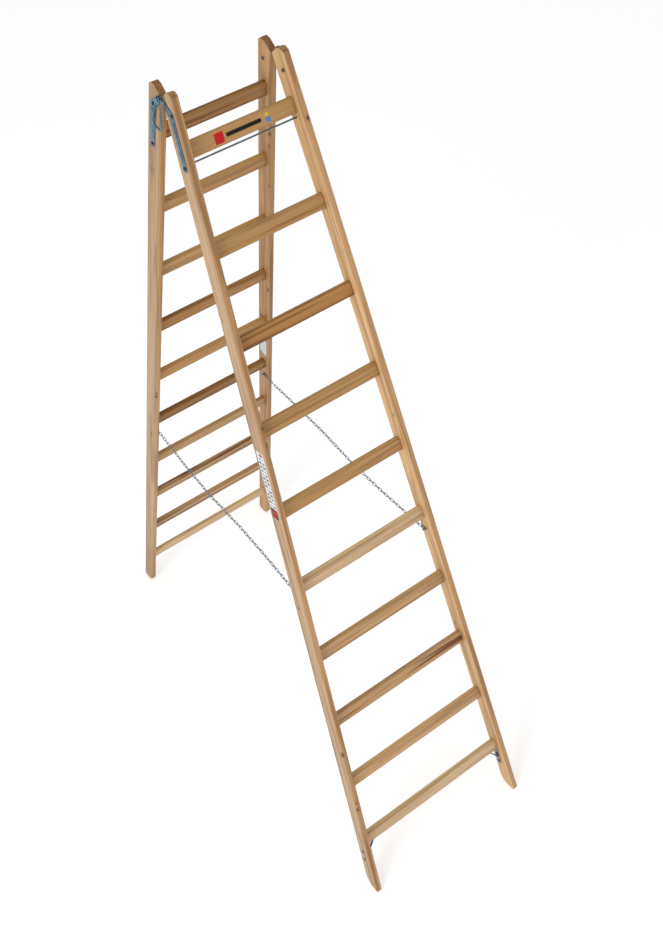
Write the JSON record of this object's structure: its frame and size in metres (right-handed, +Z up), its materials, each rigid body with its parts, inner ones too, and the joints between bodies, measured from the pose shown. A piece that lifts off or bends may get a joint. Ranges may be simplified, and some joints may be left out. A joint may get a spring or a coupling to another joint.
{
  "type": "double-sided wooden step ladder",
  "caption": "Double-sided folding wooden step ladder: two splayed rung sections hinged at the top, held apart by side chains, with a wire bucket hook.",
  "frame": {"origin": "on the floor, midway between the four feet, below the hinge", "axes": "+Z up, +X across the ladder to the right of a person who faces the front section, -Y from the hinge towards the front section's feet"},
  "size_m": [0.663, 1.7602, 2.7921],
  "materials": {
    "stile_wood": "satin",
    "rung_wood": "satin",
    "zinc_steel": "zinc plated",
    "chain_steel": "zinc plated",
    "label_film": "printed film"
  },
  "bodies": {
    "front_section": {"stile_front_left": "stile_wood", "stile_front_right": "stile_wood", "rung_front_01": "rung_wood", "rung_front_02": "rung_wood", "rung_front_03": "rung_wood", "rung_front_04": "rung_wood", "rung_front_05": "rung_wood", "rung_front_06": "rung_wood", "rung_front_07": "rung_wood", "rung_front_08": "rung_wood", "rung_front_09": "rung_wood", "rung_front_10": "rung_wood", "tie_rod": "zinc_steel", "tie_rod_nuts": "zinc_steel", "corner_brackets": "zinc_steel", "bracket_bolts": "zinc_steel", "bracket_nuts": "zinc_steel", "bracket_screws": "zinc_steel", "hinge_strap_front_left": "zinc_steel", "hinge_strap_front_right": "zinc_steel", "hinge_bolts_front": "zinc_steel", "hinge_nuts_front": "zinc_steel", "strap_screws_front": "zinc_steel", "hinge_pin_left": "zinc_steel", "hinge_pin_right": "zinc_steel", "chain_bolts_front": "zinc_steel", "chain_spacers_front": "zinc_steel", "label_front_stile": "label_film", "label_front_rung": "label_film"},
    "rear_section": {"stile_rear_left": "stile_wood", "stile_rear_right": "stile_wood", "rung_rear_01": "rung_wood", "rung_rear_02": "rung_wood", "rung_rear_03": "rung_wood", "rung_rear_04": "rung_wood", "rung_rear_05": "rung_wood", "rung_rear_06": "rung_wood", "rung_rear_07": "rung_wood", "rung_rear_08": "rung_wood", "rung_rear_09": "rung_wood", "rung_rear_10": "rung_wood", "hinge_strap_rear_left": "zinc_steel", "hinge_strap_rear_right": "zinc_steel", "hinge_bolts_rear": "zinc_steel", "hinge_nuts_rear": "zinc_steel", "strap_screws_rear": "zinc_steel", "chain_bolts_rear": "zinc_steel", "chain_spacers_rear": "zinc_steel", "label_rear_stile": "label_film"},
    "hook": {"bucket_hook": "zinc_steel"},
    "chain_left_front_half": {"chain_left_front": "chain_steel"},
    "chain_left_rear_half": {"chain_left_rear": "chain_steel"},
    "chain_right_front_half": {"chain_right_front": "chain_steel"},
    "chain_right_rear_half": {"chain_right_rear": "chain_steel"}
  },
  "joints": [
    {"name": "fold", "type": "hinge", "parent": "front_section", "child": "rear_section", "pos_m": [0, 0, 2.76384], "axis": [-1, 0, 0], "range_deg": [0, 32.9]},
    {"name": "hook_swing", "type": "hinge", "parent": "front_section", "child": "hook", "pos_m": [-0.1857, 0, 2.76384], "axis": [1, 0, 0], "range_deg": [-90, 90]},
    {"name": "chain_left_front_swing", "type": "hinge", "parent": "front_section", "child": "chain_left_front_half", "pos_m": [-0.23685, -0.48047, 1.22035], "axis": [-1, 0, 0], "range_deg": [0, 101]},
    {"name": "chain_left_rear_swing", "type": "hinge", "parent": "rear_section", "child": "chain_left_rear_half", "pos_m": [-0.23685, 0.48047, 1.22035], "axis": [1, 0, 0], "range_deg": [0, 101]},
    {"name": "chain_right_front_swing", "type": "hinge", "parent": "front_section", "child": "chain_right_front_half", "pos_m": [0.23685, -0.48047, 1.22035], "axis": [-1, 0, 0], "range_deg": [0, 101]},
    {"name": "chain_right_rear_swing", "type": "hinge", "parent": "rear_section", "child": "chain_right_rear_half", "pos_m": [0.23685, 0.48047, 1.22035], "axis": [1, 0, 0], "range_deg": [0, 101]}
  ],
  "couplings": [
    {"joint": "chain_left_front_swing", "follows": "fold", "ratio": 3.0578},
    {"joint": "chain_left_rear_swing", "follows": "fold", "ratio": 3.0578},
    {"joint": "chain_right_front_swing", "follows": "fold", "ratio": 3.0578},
    {"joint": "chain_right_rear_swing", "follows": "fold", "ratio": 3.0578}
  ]
}
